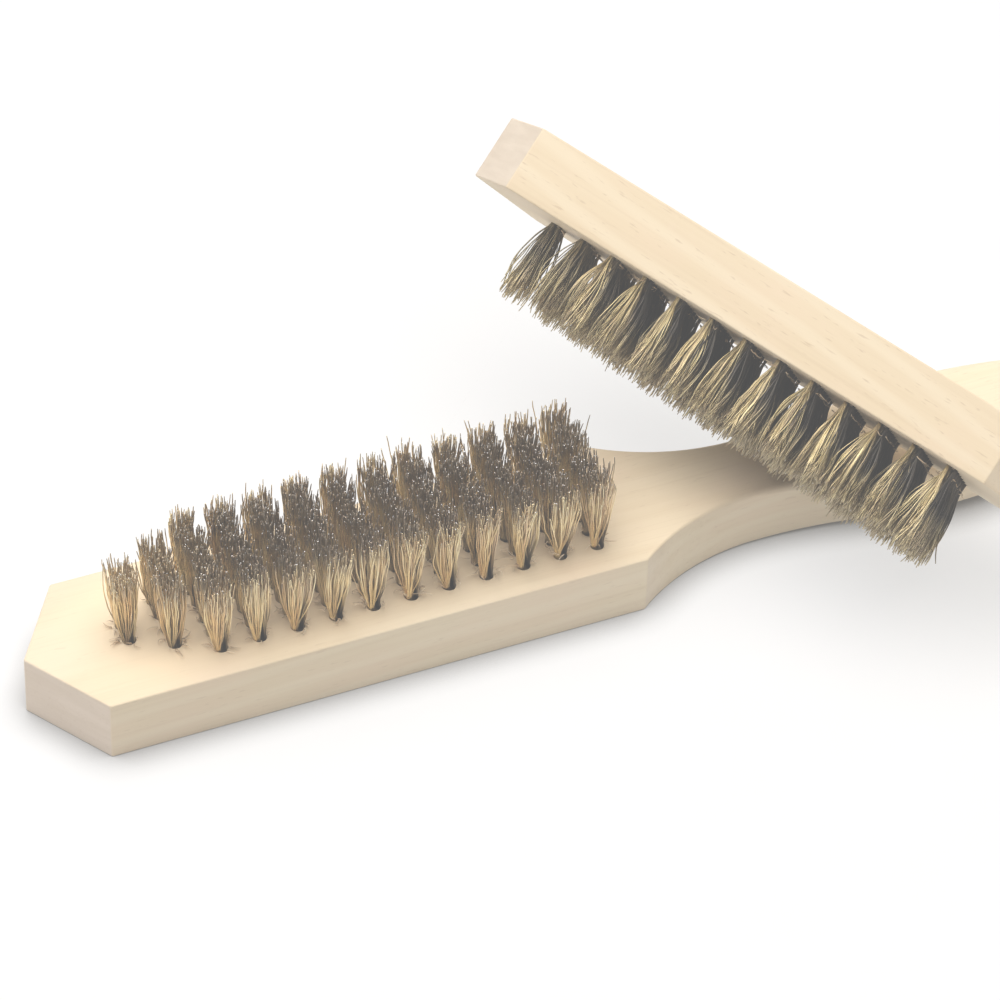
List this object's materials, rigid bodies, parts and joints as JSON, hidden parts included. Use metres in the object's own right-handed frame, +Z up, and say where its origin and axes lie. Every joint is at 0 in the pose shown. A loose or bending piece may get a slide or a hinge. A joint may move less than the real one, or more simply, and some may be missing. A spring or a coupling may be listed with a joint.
{
  "type": "wire scratch brush pair",
  "caption": "Wooden-handled wire scratch brushes lying crosswise, each with a pointed block full of brass wire tufts and a waisted, rounded handle.",
  "frame": {"origin": "on the flat back face of the lower brush, under the middle of its block, 70 mm from its nose tip", "axes": "+X along the lower brush from its nose to its handle, +Z up from the surface it lies on towards its wire tips, +Y across it"},
  "size_m": [0.2959, 0.2207, 0.0816],
  "materials": {
    "wood": "bare sanded pale hardwood",
    "brass_wire": "fine crimped wire, slightly dull",
    "anchor_steel": "bare flat wire"
  },
  "bodies": {
    "lower_brush": {"lower_wood_body": "wood", "lower_tuft_row_1": "brass_wire", "lower_tuft_row_2": "brass_wire", "lower_tuft_row_3": "brass_wire", "lower_tuft_row_4": "brass_wire", "lower_tuft_row_5": "brass_wire", "lower_tuft_row_6": "brass_wire", "lower_anchor_row_1": "anchor_steel", "lower_anchor_row_2": "anchor_steel", "lower_anchor_row_3": "anchor_steel", "lower_anchor_row_4": "anchor_steel", "lower_anchor_row_5": "anchor_steel", "lower_anchor_row_6": "anchor_steel"},
    "upper_brush": {"upper_wood_body": "wood", "upper_tuft_row_1": "brass_wire", "upper_tuft_row_2": "brass_wire", "upper_tuft_row_3": "brass_wire", "upper_tuft_row_4": "brass_wire", "upper_tuft_row_5": "brass_wire", "upper_tuft_row_6": "brass_wire", "upper_anchor_row_1": "anchor_steel", "upper_anchor_row_2": "anchor_steel", "upper_anchor_row_3": "anchor_steel", "upper_anchor_row_4": "anchor_steel", "upper_anchor_row_5": "anchor_steel", "upper_anchor_row_6": "anchor_steel"}
  },
  "joints": [
    {"name": "upper_brush_lift", "type": "slide", "parent": "lower_brush", "child": "upper_brush", "axis": [0, 0, 1], "range_m": [0, 0.12]}
  ]
}
